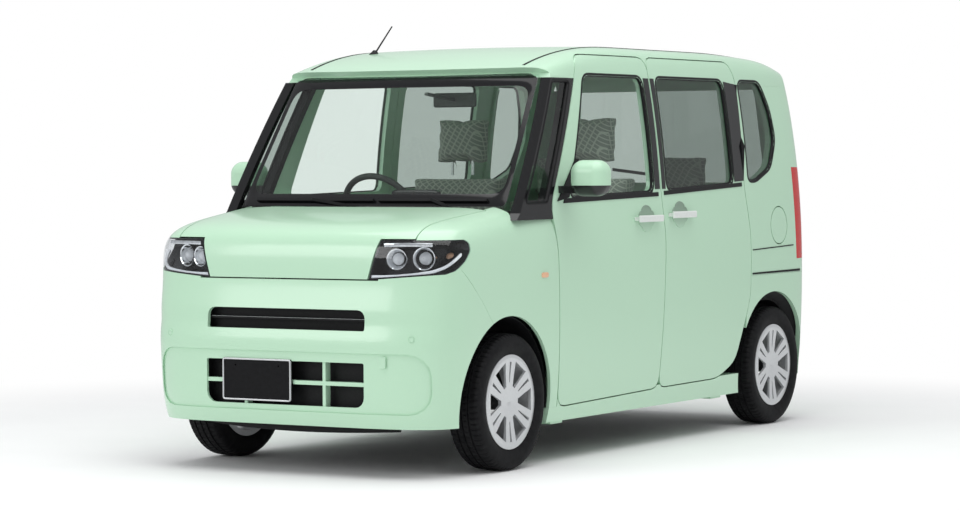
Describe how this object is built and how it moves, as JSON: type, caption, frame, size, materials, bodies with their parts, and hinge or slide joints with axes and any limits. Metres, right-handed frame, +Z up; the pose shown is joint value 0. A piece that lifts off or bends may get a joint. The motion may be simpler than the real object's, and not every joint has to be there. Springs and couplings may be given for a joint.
{
  "type": "kei car",
  "caption": "Tall box-shaped small car with hinged front doors, sliding rear doors, a tailgate and steered front wheels.",
  "frame": {"origin": "on the ground, under the middle of the car's length and width", "axes": "+Z up, the nose faces -Y, the car's left side is +X"},
  "size_m": [1.89, 3.3958, 1.8591],
  "materials": {
    "body_paint": "satin",
    "glass": "clear",
    "lamp_glass": "clear",
    "tail_red": "gloss",
    "trim_black": "matt",
    "underbody": "matt",
    "chassis": "matt",
    "block": "matt",
    "tyre": "matt",
    "wheel_cover": "satin",
    "cloth": "matt",
    "cabin_plastic": "matt",
    "reflector": "gloss",
    "plate_blank": "matt"
  },
  "bodies": {
    "shell": {"aerial": "trim_black", "cowl": "trim_black", "dashboard": "cabin_plastic", "engine": "block", "exhaust": "chassis", "firewall": "underbody", "floor_pan": "underbody", "front_bumper": "body_paint", "front_pillars": "body_paint", "front_plate": "plate_blank", "front_subframe": "chassis", "front_wings": "body_paint", "fuel_tank": "underbody", "grille": "trim_black", "headlamp_bowls": "reflector", "headlamp_lenses": "lamp_glass", "headrests": "cloth", "inner_mirror": "cabin_plastic", "intake_bars": "body_paint", "quarter_panels": "body_paint", "rear_axle": "chassis", "rear_bumper": "body_paint", "roof": "body_paint", "seat_backs": "cloth", "seat_bases": "cabin_plastic", "seat_cushions": "cloth", "side_glasses": "glass", "sills": "body_paint", "slide_handles": "body_paint", "sliding_doors": "body_paint", "steering_column": "cabin_plastic", "tail_lamps": "tail_red", "wheel_houses": "wheel_cover", "windshield": "glass", "wipers": "trim_black"},
    "door_left": {"front_door_left": "body_paint", "front_door_glass_left": "glass", "mirror_left": "body_paint", "handle_front_left": "body_paint"},
    "door_right": {"front_door_right": "body_paint", "front_door_glass_right": "glass", "mirror_right": "body_paint", "handle_front_right": "body_paint"},
    "rear_gate": {"tailgate": "body_paint", "tailgate_glass": "glass", "rear_plate": "plate_blank"},
    "front_hood": {"bonnet": "body_paint"},
    "filler_lid": {"fuel_lid": "body_paint"},
    "hub_left": {"knuckle_left": "chassis"},
    "hub_right": {"knuckle_right": "chassis"},
    "road_wheel_front_left": {"tyre_front_left": "tyre", "wheel_front_left": "wheel_cover"},
    "road_wheel_front_right": {"tyre_front_right": "tyre", "wheel_front_right": "wheel_cover"},
    "road_wheel_rear_left": {"tyre_rear_left": "tyre", "wheel_rear_left": "wheel_cover"},
    "road_wheel_rear_right": {"tyre_rear_right": "tyre", "wheel_rear_right": "wheel_cover"},
    "steering": {"steering_wheel": "cabin_plastic"}
  },
  "joints": [
    {"name": "front_door_left", "type": "hinge", "parent": "shell", "child": "door_left", "pos_m": [0.7375, -0.765, 0.75], "axis": [0, 0, -1], "range_deg": [0, 65]},
    {"name": "front_door_right", "type": "hinge", "parent": "shell", "child": "door_right", "pos_m": [-0.7375, -0.765, 0.75], "axis": [0, 0, 1], "range_deg": [0, 65]},
    {"name": "tailgate", "type": "hinge", "parent": "shell", "child": "rear_gate", "pos_m": [0, 1.5425, 1.728], "axis": [1, 0, 0], "range_deg": [0, 85]},
    {"name": "bonnet", "type": "hinge", "parent": "shell", "child": "front_hood", "pos_m": [0, -1.128, 1.052], "axis": [-1, 0, 0], "range_deg": [0, 50]},
    {"name": "fuel_lid", "type": "hinge", "parent": "shell", "child": "filler_lid", "pos_m": [0.7345, 1.2795, 0.94], "axis": [0, 0, -1], "range_deg": [0, 90]},
    {"name": "steer_left", "type": "hinge", "parent": "shell", "child": "hub_left", "pos_m": [0.588, -1.1175, 0.2], "axis": [-0.196, 0.0344, 0.98], "range_deg": [-33, 33]},
    {"name": "steer_right", "type": "hinge", "parent": "shell", "child": "hub_right", "pos_m": [-0.588, -1.1175, 0.2], "axis": [0.196, 0.0344, 0.98], "range_deg": [-33, 33]},
    {"name": "steering_wheel", "type": "hinge", "parent": "shell", "child": "steering", "pos_m": [-0.33, -0.455, 1.03], "axis": [0, 0.8829, 0.4695], "range_deg": [-530, 530]},
    {"name": "spin_front_left", "type": "hinge", "parent": "hub_left", "child": "road_wheel_front_left", "pos_m": [0.65, -1.1175, 0.2785], "axis": [1, 0, 0], "continuous": true},
    {"name": "spin_front_right", "type": "hinge", "parent": "hub_right", "child": "road_wheel_front_right", "pos_m": [-0.65, -1.1175, 0.2785], "axis": [1, 0, 0], "continuous": true},
    {"name": "spin_rear_left", "type": "hinge", "parent": "shell", "child": "road_wheel_rear_left", "pos_m": [0.6475, 1.3425, 0.2785], "axis": [1, 0, 0], "continuous": true},
    {"name": "spin_rear_right", "type": "hinge", "parent": "shell", "child": "road_wheel_rear_right", "pos_m": [-0.6475, 1.3425, 0.2785], "axis": [1, 0, 0], "continuous": true}
  ],
  "couplings": [
    {"joint": "steer_right", "follows": "steer_left", "ratio": 1},
    {"joint": "steering_wheel", "follows": "steer_left", "ratio": 16}
  ]
}
